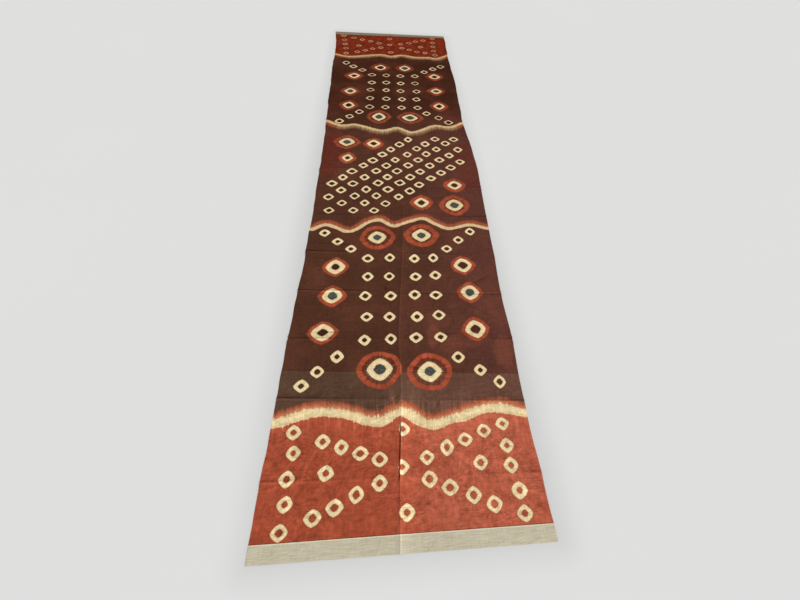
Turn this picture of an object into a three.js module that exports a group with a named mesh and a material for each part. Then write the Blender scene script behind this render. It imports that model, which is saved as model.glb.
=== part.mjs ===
// A long tie-dyed cotton panel with a plain band sewn across each end, spread on the floor after being
// stored folded. Millimetres. +X runs across it, +Y from the near end to the far end, +Z up.
// The origin is on the floor, under the middle of its outline.

import * as THREE from 'three';

// Driving dimensions
const CLOTH_THICKNESS = 1.5;
const BAND_THICKNESS = 2.2; // the band's linen is turned double
const SEAM_GAP = 0.3;
const CROSS_FOOT = 38; // how far a cross fold lifts the cloth, to each side of its line
const LEFT_FOOT = 30; // the lengthwise fold falls steeply to its left
const RIGHT_FOOT = 42; // and gently to its right
const PINCH = { from: -1955, to: -1790, foot: 11 }; // here the lengthwise fold stands up as a tuck
const EDGE_COLUMNS = 5; // columns from the foot of the lengthwise fold to an edge

// The lines that cross the panel, near end first. yLeft and yRight place a line at the two edges. left,
// middle and right place the two edges and the lengthwise fold on it. ridge is that fold's height there.
// rise is the cross fold's own height at the left edge, the middle and the right edge. The cloth was
// halved four times, so its folds turn up and down in the order that way gives.
const LINES = [
  { yLeft: -2201, yRight: -2205, left: -476, middle: 5, right: 529, ridge: 3.5 },
  { yLeft: -2145, yRight: -2149, left: -476, middle: 6, right: 529, ridge: 3.5 },
  { yLeft: -1958, yRight: -1984, left: -476, middle: 9, right: 526, ridge: 6, rise: [3, 1.5, 3], way: 'up' },
  { yLeft: -1643, yRight: -1703, left: -470, middle: 19, right: 521, ridge: 5, rise: [2.5, 1.5, 2], way: 'up' },
  { yLeft: -1363, yRight: -1402, left: -469, middle: 13, right: 527, ridge: 4.5, rise: [4, 2, 3.5], way: 'down' },
  { yLeft: -1086, yRight: -1131, left: -462, middle: 24, right: 523, ridge: 4, rise: [4, 2, 4.5], way: 'up' },
  { yLeft: -823, yRight: -871, left: -458, middle: 39, right: 529, ridge: 3.5, rise: [5, 2, 2], way: 'up' },
  { yLeft: -528, yRight: -558, left: -456, middle: 47, right: 535, ridge: 2, rise: [1.5, 1, 2], way: 'down' },
  { yLeft: -248, yRight: -273, left: -462, middle: 45, right: 543, ridge: 1.5, rise: [1.5, 1, 2.5], way: 'down' },
  { yLeft: -95, yRight: 22, left: -464, middle: 41, right: 546, ridge: 1.5, rise: [5, 1.5, 3], way: 'up' },
  { yLeft: 272, yRight: 257, left: -469, middle: 35, right: 535, ridge: 1.5, rise: [2, 1, 2], way: 'up' },
  { yLeft: 532, yRight: 517, left: -477, middle: 29, right: 515, ridge: 1.5, rise: [2, 1.5, 2], way: 'up' },
  { yLeft: 792, yRight: 772, left: -489, middle: 23, right: 520, ridge: 1.5, rise: [2, 1, 2], way: 'down' },
  { yLeft: 1002, yRight: 972, left: -494, middle: 19, right: 521, ridge: 1.5, rise: [2, 1.5, 3], way: 'down' },
  { yLeft: 1247, yRight: 1227, left: -502, middle: 15, right: 524, ridge: 2, rise: [3, 2, 3], way: 'up' },
  { yLeft: 1512, yRight: 1482, left: -510, middle: 11, right: 515, ridge: 2, rise: [2, 1.5, 2], way: 'down' },
  { yLeft: 1802, yRight: 1777, left: -513, middle: 1, right: 509, ridge: 2, rise: [2, 1, 2], way: 'down' },
  { yLeft: 2141, yRight: 2154, left: -538, middle: -13, right: 514, ridge: 2 },
  { yLeft: 2205, yRight: 2197, left: -546, middle: -16, right: 509, ridge: 2 },
];

const [NEAR_HEM, NEAR_SEAM] = LINES;
const [FAR_SEAM, FAR_HEM] = LINES.slice(-2);
const FOLDS = LINES.filter((line) => line.rise);

// Reads one column of the table at any y, on a smooth curve through its values.
function reader(places, values) {
  const slope = (i) => {
    const a = Math.max(i - 1, 0);
    const b = Math.min(i + 1, places.length - 1);
    return (values[b] - values[a]) / (places[b] - places[a]);
  };
  return (y) => {
    const next = places.findIndex((place, i) => i > 0 && y <= place);
    const i = next < 0 ? places.length - 2 : next - 1;
    const span = places[i + 1] - places[i];
    const t = (y - places[i]) / span;
    const rest = 1 - t;
    return values[i] * rest * rest * (1 + 2 * t) + values[i + 1] * t * t * (3 - 2 * t)
      + span * slope(i) * t * rest * rest - span * slope(i + 1) * t * t * rest;
  };
}

const middleOf = (line) => (line.yLeft + line.yRight) / 2;
const column = (name) => LINES.map((line) => line[name]);
const leftEdge = reader(column('yLeft'), column('left'));
const rightEdge = reader(column('yRight'), column('right'));
const lengthwiseFold = reader(LINES.map(middleOf), column('middle'));
const ridgeHeight = reader(LINES.map(middleOf), column('ridge'));

// The height of a fold at a distance from its line, as a share of its full height: an upward fold is a
// ridge, and a downward one lies on the floor between two low shoulders.
function profile(distance, foot, way) {
  const t = Math.min(Math.abs(distance) / foot, 1);
  const fall = (1 - t) * (1 - t);
  return way === 'down' ? 6.75 * t * fall : fall;
}

// One row of points along the cloth's underside, from the left edge to the right. away is the row's
// distance from the fold that it belongs to.
function underside(yLeft, yRight, fold, away) {
  const left = leftEdge(yLeft);
  const right = rightEdge(yRight);
  const y = (yLeft + yRight) / 2;
  const middle = lengthwiseFold(y);
  const pinched = y > PINCH.from && y < PINCH.to;
  const leftFoot = pinched ? PINCH.foot : LEFT_FOOT;
  const xs = [middle - leftFoot * 0.35, middle, middle + RIGHT_FOOT * 0.3];
  for (let i = 0; i <= EDGE_COLUMNS; i += 1) {
    const share = i / EDGE_COLUMNS;
    xs.unshift(THREE.MathUtils.lerp(middle - leftFoot, left, share));
    xs.push(THREE.MathUtils.lerp(middle + RIGHT_FOOT, right, share));
  }
  return xs.map((x) => {
    const share = (x - left) / (right - left);
    const ridge = ridgeHeight(y) * profile(x - middle, x < middle ? leftFoot : RIGHT_FOOT, 'up');
    let rise = 0;
    if (fold) {
      const [low, mid, high] = fold.rise;
      const here = share < 0.5 ? THREE.MathUtils.lerp(low, mid, share * 2)
        : THREE.MathUtils.lerp(mid, high, share * 2 - 1);
      rise = here * profile(away, CROSS_FOOT, fold.way);
    }
    return new THREE.Vector3(x, THREE.MathUtils.lerp(yLeft, yRight, share), Math.max(ridge, rise));
  });
}

// A closed sheet over rows of underside points.
function sheet(rows, thickness) {
  const width = rows[0].length;
  const lower = rows.flat();
  const upper = lower.map((p) => new THREE.Vector3(p.x, p.y, p.z + thickness));
  const points = [...lower, ...upper];
  const faces = [];
  const quad = (a, b, c, d) => faces.push(a, b, c, a, c, d);
  const top = lower.length;
  for (let r = 0; r + 1 < rows.length; r += 1) {
    for (let c = 0; c + 1 < width; c += 1) {
      const at = r * width + c;
      quad(top + at, top + at + 1, top + at + width + 1, top + at + width);
      quad(at, at + width, at + width + 1, at + 1);
    }
    const left = r * width;
    const right = left + width - 1;
    quad(left, top + left, top + left + width, left + width);
    quad(right, right + width, top + right + width, top + right);
  }
  const last = (rows.length - 1) * width;
  for (let c = 0; c + 1 < width; c += 1) {
    quad(c, c + 1, top + c + 1, top + c);
    quad(last + c, top + last + c, top + last + c + 1, last + c + 1);
  }
  const geometry = new THREE.BufferGeometry().setFromPoints(points);
  geometry.setIndex(faces);
  geometry.computeVertexNormals();
  return geometry;
}

// A row midway over the flat cloth between two lines of the table.
function between(before, after) {
  const from = before.rise ? CROSS_FOOT : 0;
  const to = after.rise ? CROSS_FOOT : 0;
  return underside(
    (before.yLeft + from + after.yLeft - to) / 2,
    (before.yRight + from + after.yRight - to) / 2,
  );
}

function cloth() {
  const rows = [underside(NEAR_SEAM.yLeft, NEAR_SEAM.yRight)];
  let before = NEAR_SEAM;
  for (const fold of FOLDS) {
    rows.push(between(before, fold));
    for (const away of [-CROSS_FOOT, -CROSS_FOOT / 3, 0, CROSS_FOOT / 3, CROSS_FOOT]) {
      rows.push(underside(fold.yLeft + away, fold.yRight + away, fold, away));
    }
    before = fold;
  }
  rows.push(between(before, FAR_SEAM));
  rows.push(underside(FAR_SEAM.yLeft, FAR_SEAM.yRight));
  return sheet(rows, CLOTH_THICKNESS);
}

// A band from one line of the table to the next, in two strips.
function band(from, to) {
  const rows = [0, 0.5, 1].map((share) => underside(
    THREE.MathUtils.lerp(from.yLeft, to.yLeft, share),
    THREE.MathUtils.lerp(from.yRight, to.yRight, share),
  ));
  return sheet(rows, BAND_THICKNESS);
}

const shifted = (line, by) => ({ yLeft: line.yLeft + by, yRight: line.yRight + by });

function piece(name, geometry, color, roughness) {
  const mesh = new THREE.Mesh(geometry, new THREE.MeshStandardMaterial({ color, roughness, metalness: 0 }));
  mesh.name = name;
  return mesh;
}

const panel = new THREE.Group();
panel.add(
  piece('tie_dyed_cloth', cloth(), 0x5a3020, 0.9),
  piece('near_band', band(NEAR_HEM, shifted(NEAR_SEAM, -SEAM_GAP)), 0xbeb69e, 0.92),
  piece('far_band', band(shifted(FAR_SEAM, SEAM_GAP), FAR_HEM), 0xbeb69e, 0.92),
);

export default panel;
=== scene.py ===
import math

import bpy
import numpy as np
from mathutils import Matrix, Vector


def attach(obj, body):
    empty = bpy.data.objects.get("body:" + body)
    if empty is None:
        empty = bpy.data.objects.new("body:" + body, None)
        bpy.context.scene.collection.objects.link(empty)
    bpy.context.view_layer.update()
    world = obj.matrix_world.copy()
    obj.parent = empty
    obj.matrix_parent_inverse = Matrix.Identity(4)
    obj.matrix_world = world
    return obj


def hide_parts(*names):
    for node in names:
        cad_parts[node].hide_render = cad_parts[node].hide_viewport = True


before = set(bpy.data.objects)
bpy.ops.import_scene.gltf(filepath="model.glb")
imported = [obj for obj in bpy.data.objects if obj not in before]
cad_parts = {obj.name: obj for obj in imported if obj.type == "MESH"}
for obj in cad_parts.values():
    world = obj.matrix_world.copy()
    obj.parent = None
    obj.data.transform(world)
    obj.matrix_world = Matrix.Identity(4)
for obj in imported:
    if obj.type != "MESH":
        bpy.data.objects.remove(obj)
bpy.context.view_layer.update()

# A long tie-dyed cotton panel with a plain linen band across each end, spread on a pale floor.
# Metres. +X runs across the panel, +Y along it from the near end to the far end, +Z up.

MM = 0.001
CM = 0.01

# The lines that cross the panel, near end first, as the CAD part has them, in millimetres. Each has its
# place at the left and the right edge, the places of the left edge, the lengthwise fold and the right
# edge on it, the lengthwise fold's height, the cross fold's height at the left, the middle and the right,
# and the way that it turns (1 up, -1 down, 0 none).
LINES = [
    (-2201, -2205, -476, 5, 529, 3.5, (0, 0, 0), 0),
    (-2145, -2149, -476, 6, 529, 3.5, (0, 0, 0), 0),
    (-1958, -1984, -476, 9, 526, 6, (3, 1.5, 3), 1),
    (-1643, -1703, -470, 19, 521, 5, (2.5, 1.5, 2), 1),
    (-1363, -1402, -469, 13, 527, 4.5, (4, 2, 3.5), -1),
    (-1086, -1131, -462, 24, 523, 4, (4, 2, 4.5), 1),
    (-823, -871, -458, 39, 529, 3.5, (5, 2, 2), 1),
    (-528, -558, -456, 47, 535, 2, (1.5, 1, 2), -1),
    (-248, -273, -462, 45, 543, 1.5, (1.5, 1, 2.5), -1),
    (-95, 22, -464, 41, 546, 1.5, (5, 1.5, 3), 1),
    (272, 257, -469, 35, 535, 1.5, (2, 1, 2), 1),
    (532, 517, -477, 29, 515, 1.5, (2, 1.5, 2), 1),
    (792, 772, -489, 23, 520, 1.5, (2, 1, 2), -1),
    (1002, 972, -494, 19, 521, 1.5, (2, 1.5, 3), -1),
    (1247, 1227, -502, 15, 524, 2, (3, 2, 3), 1),
    (1512, 1482, -510, 11, 515, 2, (2, 1.5, 2), -1),
    (1802, 1777, -513, 1, 509, 2, (2, 1, 2), -1),
    (2141, 2154, -538, -13, 514, 2, (0, 0, 0), 0),
    (2205, 2197, -546, -16, 509, 2, (0, 0, 0), 0),
]
Y_LEFT, Y_RIGHT, X_LEFT, X_FOLD, X_RIGHT, RIDGE = (
    np.array([line[i] for line in LINES], dtype=float) * MM for i in range(6))
RISE = np.array([line[6] for line in LINES], dtype=float) * MM
WAY = [line[7] for line in LINES]
NEAR_SEAM, FAR_SEAM = 1, len(LINES) - 2

# How plainly each of the thirteen nearer cross folds shows at five places from the left edge to the right: a
# painted highlight on its near flank and painted shade on its far one, or the other way round where negative.
FOLD_SHADES = [
    (1.1, 0.3, 0.1, 0.1, 0.6), (1.1, 0.7, 0.2, 0.4, 1.1), (1.3, 0.5, 0.4, 0.2, 0.9),
    (1.0, 0.9, -0.7, -0.6, -1.2), (1.4, 0.4, 0.3, 0.5, -0.4), (0.8, 0.5, 0.4, 0.4, 1.0),
    (0.6, 0.4, 0.3, -0.5, 0.6), (0.6, 0.5, -0.4, 0.3, 0.3), (0.4, 0.2, 0.1, 0.2, 0.1),
    (0.2, 0.1, 0.3, 0.2, 0.3), (0.2, 0.1, 0.3, 0.1, 0.1), (0.2, 0.2, 0.1, 0.1, 0.1),
    (0.1, 0.1, 0.2, 0.1, 0.1),
]

CROSS_FOOT = 38 * MM
LEFT_FOOT = 30 * MM
RIGHT_FOOT = 42 * MM
SEAM_GAP = 0.3 * MM
CLOTH_THICKNESS = 0.9 * MM
BAND_THICKNESS = 1.7 * MM

# Where the lengthwise fold stands up as a tuck, and how far its steep side spreads there.
TUCK_FROM, TUCK_TO, TUCK_EASE, TUCK_FOOT = -1.965, -1.785, 0.03, 4 * MM

# Distances from a fold at which the mesh has a line of points, and the spacing of the others.
ACROSS_STEPS = np.array([0, 1, 2.5, 4, 6, 9, 13, 18, 24, 32, 42]) * MM
EVEN_COLUMNS = 40
ALONG_STEPS = np.array([0, 2.5, 6, 11, 18, 27, 38]) * MM
ALONG_SPACING = 13.5 * MM
BAND_STEPS = np.array([0, 2, 5, 10]) * MM
BAND_SPACING = 6 * MM

# Creases away from the main folds, on the chart in centimetres: where each starts and ends, and how
# strong it is, in its bump and in the light and shade painted along it. A negative one is pressed in.
CREASES = [
    ((-47.0, -132.3), (-14.0, -133.0), -0.4), ((10.0, -135.0), (47.0, -136.2), -0.4),
    ((27.7, -110.5), (47.9, -98.4), -0.6), ((29.3, -118.5), (45.8, -130.2), 0.4),
    ((-47.0, -76.9), (-20.0, -78.5), 0.5), ((-47.0, -107.1), (-25.0, -107.6), 0.5),
    ((-7.7, -170.0), (-1.0, -163.9), -0.9), ((-6.1, -112.8), (-9.2, -106.4), -0.7),
    ((8.0, -171.5), (9.0, -166.0), -0.7), ((12.0, -172.0), (15.0, -166.5), -0.6),
    ((2.8, -209.5), (12.7, -204.2), 0.35), ((-50.0, -199.0), (-30.0, -194.0), 0.4),
    ((-48.0, 3.5), (-20.0, 4.6), 0.3), ((-48.0, -6.2), (-20.0, -3.6), 0.3),
    ((-52.0, 133.0), (-18.0, 133.0), -0.2), ((12.0, 131.0), (48.0, 130.6), -0.2),
    ((-15.2, 160.5), (-15.2, 166.0), -0.6), ((3.5, 162.0), (3.5, 168.0), -0.6),
    ((-36.0, -203.0), (-20.0, -213.0), 0.25), ((-22.0, -200.5), (-38.0, -191.0), 0.25),
    ((14.0, -186.0), (30.0, -199.0), -0.2), ((40.0, -196.5), (49.0, -201.0), 0.3),
    ((-16.0, -183.0), (-4.0, -177.0), 0.3), ((-20.0, -211.0), (-4.0, -204.0), -0.25),
]

# The dyed pattern, on a chart in centimetres whose origin is close to the middle of the panel.

CHART_MIDDLE = (0.027, 0.002)

# The kinds of tied ring: across the dyed core, the undyed cream, the dark gap and the outer red; what the
# core's dye is (1 the blue-green, 0 the ground's, -1 the ground's but as light as the ground); how strong
# the outer red is; how round the cream and the outer red are (0 a diamond, 1 a circle); and how far dye
# has dulled the cream.
KINDS = {
    "small red": (2.5, 5.7, 0, 0, -1, 0, 0.40, 0, 0.0),
    "small": (2.7, 5.9, 0, 0, -0.3, 0, 0.30, 0, 0.0),
    "small middle": (3.4, 6.7, 0, 0, -0.1, 0, 0.10, 0, 0.08),
    "small far": (4.2, 6.6, 0, 0, 0, 0, 0.05, 0, 0.20),
    "small end": (2.8, 5.2, 0, 0, -0.3, 0, 0.25, 0, 0.85),
    "haloed": (5.0, 9.8, 0, 13.6, -0.3, 0.95, 0.45, 0.40, 0.05),
    "haloed blue": (4.8, 9.5, 0, 13.3, 1, 0.95, 0.45, 0.40, 0.05),
    "haloed pale": (4.4, 10.0, 0, 13.4, -0.3, 0.95, 0.40, 0.40, 0.08),
    "haloed middle": (4.6, 9.3, 0, 14.2, -0.1, 0.90, 0.25, 0.50, 0.06),
    "haloed small": (3.6, 7.8, 0, 12.4, -0.1, 1.0, 0.15, 0.50, 0.05),
    "haloed far": (5.2, 9.6, 0, 15.4, 0, 0.60, 0.15, 0.30, 0.18),
    "haloed far blue": (5.2, 9.6, 0, 15.0, 0.7, 0.60, 0.15, 0.30, 0.18),
    "large left": (5.1, 10.7, 14.3, 18.6, 0.8, 1, 0.55, 0.80, 0.05),
    "large right": (4.8, 10.3, 14.3, 18.8, 1, 1, 0.40, 0.80, 0.0),
    "large middle": (4.6, 10.0, 13.8, 19.0, 1, 0.90, 0.35, 0.75, 0.08),
    "large middle right": (4.9, 10.4, 12.4, 19.0, 1, 0.90, 0.30, 0.75, 0.06),
    "large far": (6.0, 11.2, 13.8, 18.6, 0.9, 0.70, 0.15, 0.60, 0.16),
    "large end": (6.4, 10.2, 11.4, 16.4, 0, 0.45, 0.25, 0.50, 0.18),
    "large end blue": (6.2, 10.2, 11.4, 15.8, 0.8, 0.45, 0.25, 0.50, 0.16),
    "double": (5.6, 11.0, 13.2, 19.0, 1, 0.85, 0.40, 0.55, 0.18),
    "double left": (5.2, 10.6, 12.4, 17.2, 1, 0.80, 0.25, 0.55, 0.22),
}

# Rings that stand alone, as the kind and the centres, set to the nearest half centimetre.
SINGLE_RINGS = {
    "small red": [(-28, -194), (28, -193.5), (-0.5, -179.5), (-1, -193.5), (0.5, -208.5)],
    "large left": [(-9.5, -153)],
    "large right": [(11.5, -155)],
    "haloed": [(34, -134), (32.5, -93.5)],
    "haloed pale": [(-35, -133.5), (-32.5, -93.5)],
    "haloed blue": [(-32.5, -112.5), (34, -112)],
    "large middle": [(-12, -72)],
    "large middle right": [(12, -70.5)],
    "haloed middle": [(35, -25), (13.5, -42), (-16, 21.5)],
    "haloed small": [(-32.5, 4)],
    "double": [(33, -44.5)],
    "double left": [(-34, 23)],
    "large far": [(-13, 58), (10, 57.5)],
    "haloed far": [(-36, 74.5), (-34.5, 125), (33, 76), (33, 127.5)],
    "haloed far blue": [(-36, 97.5), (32.5, 101)],
    "large end": [(-13, 142.5)],
    "large end blue": [(8, 142.5)],
    "small end": [(-33.5, 188.5), (24, 190.5), (-4, 175.5), (-5, 193), (-5, 207)],
}
# Rows of rings, evenly spaced: the kind, the first and the last centre, and how many there are.
ROWS = [
    ("small red", (-40.5, -178.5), (-41, -212), 5),
    ("small red", (-30, -182.5), (-9, -190.5), 4),
    ("small red", (-9.5, -198.5), (-31, -208), 4),
    ("small red", (8, -190.5), (31, -181.5), 4),
    ("small red", (8.5, -198), (31, -207.5), 4),
    ("small red", (38.5, -179), (41, -211.5), 5),
    ("small", (-42, -159), (-28, -146.5), 3),
    ("small", (24.5, -149), (40.5, -161), 3),
    ("small", (-40, -68), (-25.5, -81), 3),
    ("small", (25.5, -81), (39.5, -68), 3),
    ("small far", (-41, 51), (-28, 64.5), 3),
    ("small far", (23.5, 65), (39, 52), 3),
    ("small far", (-43, 149.5), (-28.5, 136.5), 3),
    ("small far", (24, 136.5), (39.5, 148), 3),
    ("small end", (-44, 170.5), (-48.5, 211.5), 5),
    ("small end", (-39, 207), (-15.5, 195.5), 4),
    ("small end", (-13, 186), (-35, 174.5), 4),
    ("small end", (5.5, 195.5), (27.5, 206.5), 4),
    ("small end", (36.5, 212.5), (36, 172.5), 5),
    ("small end", (6, 186), (27.5, 177), 4),
    ("small middle", (-40.5, -23.5), (8, 27), 9),
    ("small middle", (-41, -36.5), (26, 28.5), 11),
    ("small middle", (-39.5, -49), (39.5, 29), 13),
    ("small middle", (-26.5, -49), (41.5, 15), 11),
    ("small middle", (-14, -49.5), (41, 1), 9),
]
# The two blocks of rings: the kind, the first and last row and how many rows, and the columns.
BLOCKS = [
    ("small", (-138, -88, 5), (-16.5, -5, 7, 17.5)),
    ("small far", (72.5, 127.5, 5), (-20, -8, 4, 16)),
]
# About how far a ring of a row or block was tied off its place by hand, each way, in centimetres.
TYING_SLIP = 0.35

# The wavy stripes: half the cream's width, the fringe's width, the side that it is on (1 far, -1 near),
# its strength, how far the streaks run, the red ground beyond the stripe (1 on the near side, -1 on the far
# side, 0 none), how dull the cream is, how brown the fringe is (0 red, 1 brown), and the crests, dips
# and bends of its middle, set to the nearest half centimetre.
STRIPES = [
    (1.75, 2.9, 1, 1.0, 2.4, 1, 0.0, 0.0, [
        (-49, -174.5), (-36, -171), (-24, -172), (-11, -176), (-1, -172.5), (10, -178), (20.5, -176),
        (36, -172.5), (49, -175.5)]),
    (1.1, 3.0, 1, 0.90, 1.0, 0, 0.33, 0.0, [
        (-47, -65), (-40, -61.5), (-27, -67), (-17, -59.5), (-11, -57.5), (-3.5, -62.5), (7, -58.5),
        (14, -56.5), (21, -61.5), (28, -65), (40, -62), (49.5, -65)]),
    (1.2, 3.5, -1, 0.88, 3.2, 0, 0.48, 0.9, [
        (-50, 50.5), (-39.5, 44.5), (-29.5, 46), (-11, 38.5), (0, 42.5), (11, 37), (27.5, 46.5),
        (38.5, 45), (48, 51)]),
    (1.3, 3.2, -1, 0.85, 1.4, -1, 0.75, 1.0, [
        (-52.5, 167), (-44, 163.5), (-36, 164), (-13, 169.5), (-3, 166.5), (5, 170), (18.5, 166.5),
        (30, 167), (37.5, 165.5), (48, 173.5)]),
]

# Uneven places in the dye, on the chart in centimetres: the middle, how far each spreads across and
# along, and how strong it is. A positive one is redder and a negative one is darker.
DYE_PATCHES = [
    (14, -137, 3, 7, 0.48), (30, -139, 10, 5, 0.30), (45, -146, 5, 9, 0.55), (22, -143, 6, 5, 0.32),
    (17, -128, 6, 6, 0.28), (46, -120, 6, 16, 0.25), (-44, 10, 8, 30, 0.60), (46, -5, 8, 30, 0.40),
    (30, 5, 14, 9, 0.15), (-46, 70, 6, 30, 0.15), (42, 60, 9, 12, 0.15), (0, -30, 18, 12, -0.3),
    (5, 100, 20, 30, -0.2), (24, -165, 10, 8, 0.25),
]
# The redder patches nearer than this, in centimetres too, are paler than the ones beyond it.
NEAR_PATCHES = -90

# The tide line and the near seam run a little aslant, in metres: y + x * lean + at is 0 along each.
TIDE_LEAN, TIDE_AT = 0.056, 1.5515
SEAM_LEAN, SEAM_AT = 0.004, 2.149

# What the mesh stores of a ring, and its material reads.
RING_PARTS = ("Place", "Size", "Dye", "Form")


def colour(red, green, blue):
    """A colour by its screen values from 0 to 255, as the linear values that the nodes mix."""
    def linear(value):
        value /= 255
        return value / 12.92 if value <= 0.04045 else ((value + 0.055) / 1.055) ** 2.4
    return (linear(red), linear(green), linear(blue), 1.0)


BROWN = colour(82, 49, 35)
RED_BROWN = colour(128, 72, 55)
DARK_BROWN = colour(70, 40, 29)
DEEP_RED = colour(102, 40, 30)
RIGHT_BROWN = colour(95, 55, 46)
FAR_BROWN = colour(65, 32, 18)
GREY_BROWN = colour(90, 66, 51)
GREY_BROWN_RIGHT = colour(108, 74, 60)
NEAR_RED = colour(166, 78, 53)
NEAR_RED_PALE = colour(191, 101, 76)
NEAR_RED_DEEP = colour(142, 60, 42)
FAR_RED = colour(132, 46, 19)
FAR_RED_DARK = colour(98, 31, 11)
FRINGE_RED = colour(174, 90, 61)
FRINGE_PALE = colour(212, 146, 108)
RING_RED = colour(168, 76, 50)
CREAM = colour(224, 198, 148)
CREAM_LIGHT = colour(245, 225, 180)
CREAM_DULL = colour(178, 132, 88)
CREAM_PINK = colour(204, 142, 108)
TAN = colour(172, 136, 98)
BLUE_GREEN = colour(82, 94, 88)
LINEN = colour(206, 197, 172)
LINEN_DARK = colour(178, 168, 143)
LINEN_FAR_END = colour(112, 103, 86)
THREAD = colour(222, 213, 190)
FLOOR = colour(227, 227, 225)


# Shape

def reader(places, values):
    """A smooth curve through the values, read at any number of places at once."""
    places = np.asarray(places, dtype=float)
    values = np.asarray(values, dtype=float)
    padded_places = np.concatenate([places[:1], places, places[-1:]])
    padded_values = np.concatenate([values[:1], values, values[-1:]])
    slopes = (padded_values[2:] - padded_values[:-2]) / (padded_places[2:] - padded_places[:-2])

    def read(at):
        at = np.clip(at, places[0], places[-1])
        i = np.clip(np.searchsorted(places, at) - 1, 0, len(places) - 2)
        span = places[i + 1] - places[i]
        t = (at - places[i]) / span
        rest = 1 - t
        return (values[i] * rest * rest * (1 + 2 * t) + values[i + 1] * t * t * (3 - 2 * t)
                + span * slopes[i] * t * rest * rest - span * slopes[i + 1] * t * t * rest)
    return read


Y_MIDDLE = (Y_LEFT + Y_RIGHT) / 2
left_line = reader(Y_LEFT, X_LEFT)
right_line = reader(Y_RIGHT, X_RIGHT)
fold_place = reader(Y_MIDDLE, X_FOLD)
fold_height = reader(Y_MIDDLE, RIDGE)

# How much cloth the lengthwise fold hides under its steep side.
hidden_cloth = reader(
    [-2.20, -2.08, -1.96, -1.78, -1.68, -1.50, 2.20],
    [0.007, 0.009, 0.014, 0.014, 0.004, 0.001, 0.001])


def soft_step(value, start, end):
    """0 up to start, 1 from end, and a soft rise between."""
    t = np.clip((value - start) / (end - start), 0, 1)
    return t * t * (3 - 2 * t)


def tuck(y):
    """1 where the lengthwise fold stands up as a tuck, 0 elsewhere."""
    return soft_step(y, TUCK_FROM - TUCK_EASE, TUCK_FROM) * (1 - soft_step(y, TUCK_TO, TUCK_TO + TUCK_EASE))


def left_foot(y):
    return LEFT_FOOT + (TUCK_FOOT - LEFT_FOOT) * tuck(y)


def profile(distance, foot, way):
    """A fold's height at a distance from its line, as a share of its full height."""
    t = np.minimum(np.abs(distance) / foot, 1)
    fall = (1 - t) ** 2
    return fall if way > 0 else 6.75 * t * fall


def uneven(x, y, seed, waves, longest, shortest):
    """A soft unevenness from -1 to 1: waves of many lengths and directions, the same on each run."""
    rng = np.random.default_rng(seed)
    total = np.zeros_like(x)
    for length in np.geomspace(longest, shortest, waves):
        turn, phase = rng.uniform(0, 2 * math.pi, 2)
        total += np.sin((x * math.cos(turn) + y * math.sin(turn)) * 2 * math.pi / length + phase)
    return total / math.sqrt(waves) / 1.6


def left_edge(y):
    """The left edge, which runs smoothly from line to line of the table but for small waves."""
    return left_line(y) + uneven(np.zeros_like(y), y, 31, 9, 0.55, 0.12) * 3 * MM


def right_edge(y):
    return right_line(y) + uneven(np.zeros_like(y), y, 32, 9, 0.55, 0.12) * 3 * MM


def lie(x, y, share):
    """How high the underside lies above the floor."""
    away = x - fold_place(y)
    foot = np.where(away < 0, left_foot(y), RIGHT_FOOT)
    height = fold_height(y) * profile(away, foot, 1)
    for i, way in enumerate(WAY):
        if way == 0:
            continue
        low, mid, high = RISE[i]
        here = np.where(share < 0.5, low + (mid - low) * share * 2, mid + (high - mid) * (share * 2 - 1))
        line = Y_LEFT[i] + (Y_RIGHT[i] - Y_LEFT[i]) * share
        height = np.maximum(height, here * profile(y - line, CROSS_FOOT, way))
    soft = 0.5 + 0.5 * uneven(x, y, 5, 14, 0.5, 0.11)
    near_red = 1 - soft_step(y, -1.85, -1.65)
    small = 0.5 + 0.5 * uneven(x, y, 8, 16, 0.12, 0.045)
    return np.maximum(height + soft * 0.7 * MM + small * near_red * 0.8 * MM - 0.4 * MM, 0.05 * MM)


def bare():
    """Leaves nothing selected."""
    if bpy.context.object and bpy.context.object.mode != "OBJECT":
        bpy.ops.object.mode_set(mode="OBJECT")
    bpy.ops.object.select_all(action="DESELECT")


def pick(piece):
    """Leaves one piece selected and active."""
    bare()
    piece.select_set(True)
    bpy.context.view_layer.objects.active = piece


def rows_between(first, last, steps, spacing, shift_first=0.0, shift_last=0.0):
    """The places at the two edges of the rows of points between two lines of the table."""
    start = np.array([Y_LEFT[first], Y_RIGHT[first]]) + shift_first
    end = np.array([Y_LEFT[last], Y_RIGHT[last]]) + shift_last
    near = [start + step for step in steps]
    far = [end - step for step in steps[::-1]]
    count = max(int(round((far[0].mean() - near[-1].mean()) / spacing)), 1)
    even = [near[-1] + (far[0] - near[-1]) * i / count for i in range(1, count)]
    return near + even + far


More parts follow.
